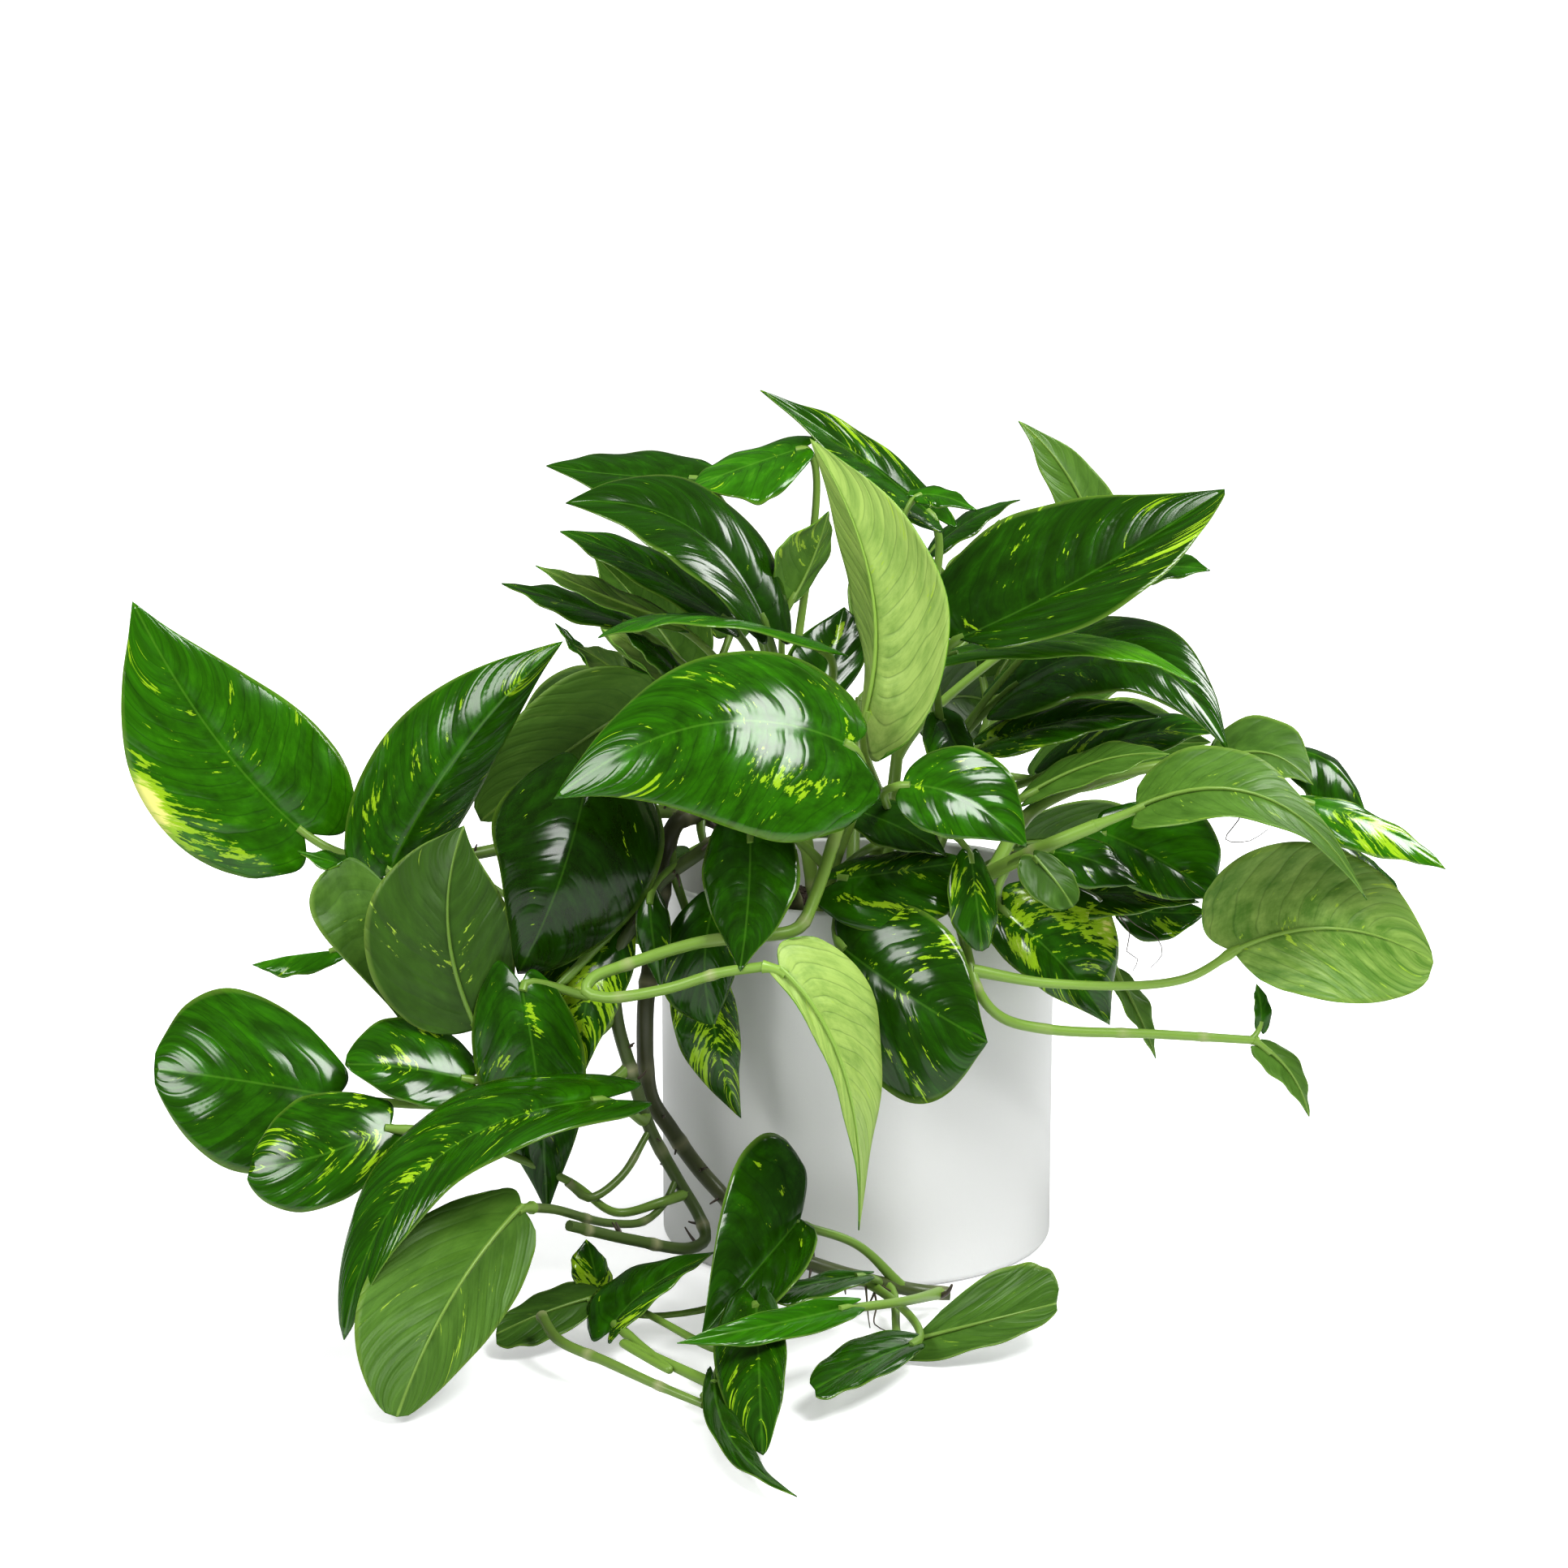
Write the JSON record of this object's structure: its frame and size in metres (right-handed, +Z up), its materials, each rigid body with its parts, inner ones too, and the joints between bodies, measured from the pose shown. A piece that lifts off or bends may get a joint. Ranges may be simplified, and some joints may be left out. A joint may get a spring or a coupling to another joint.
{
  "type": "potted pothos plant",
  "caption": "Golden pothos with heart-shaped variegated leaves on short and trailing stems, standing in a white cylindrical pot of potting soil.",
  "frame": {"origin": "centre of the pot's foot, on the surface it stands on", "axes": "+Z up along the pot's axis, -Y towards the side that the picture shows, +X to that view's right"},
  "size_m": [0.5117, 0.4464, 0.3449],
  "materials": {
    "leaf": "satin",
    "pot": "satin",
    "soil": "matte"
  },
  "bodies": {
    "root": {"upper_left": "leaf", "crown": "leaf", "right_upper": "leaf", "right_reach": "leaf", "right_runner": "leaf", "right_low": "leaf", "middle": "leaf", "front_cascade": "leaf", "left_reach": "leaf", "trailing_left": "leaf", "trailing_front": "leaf", "back_left": "leaf", "back_middle": "leaf", "back_right": "leaf", "pot": "pot", "soil": "soil"}
  },
  "joints": []
}
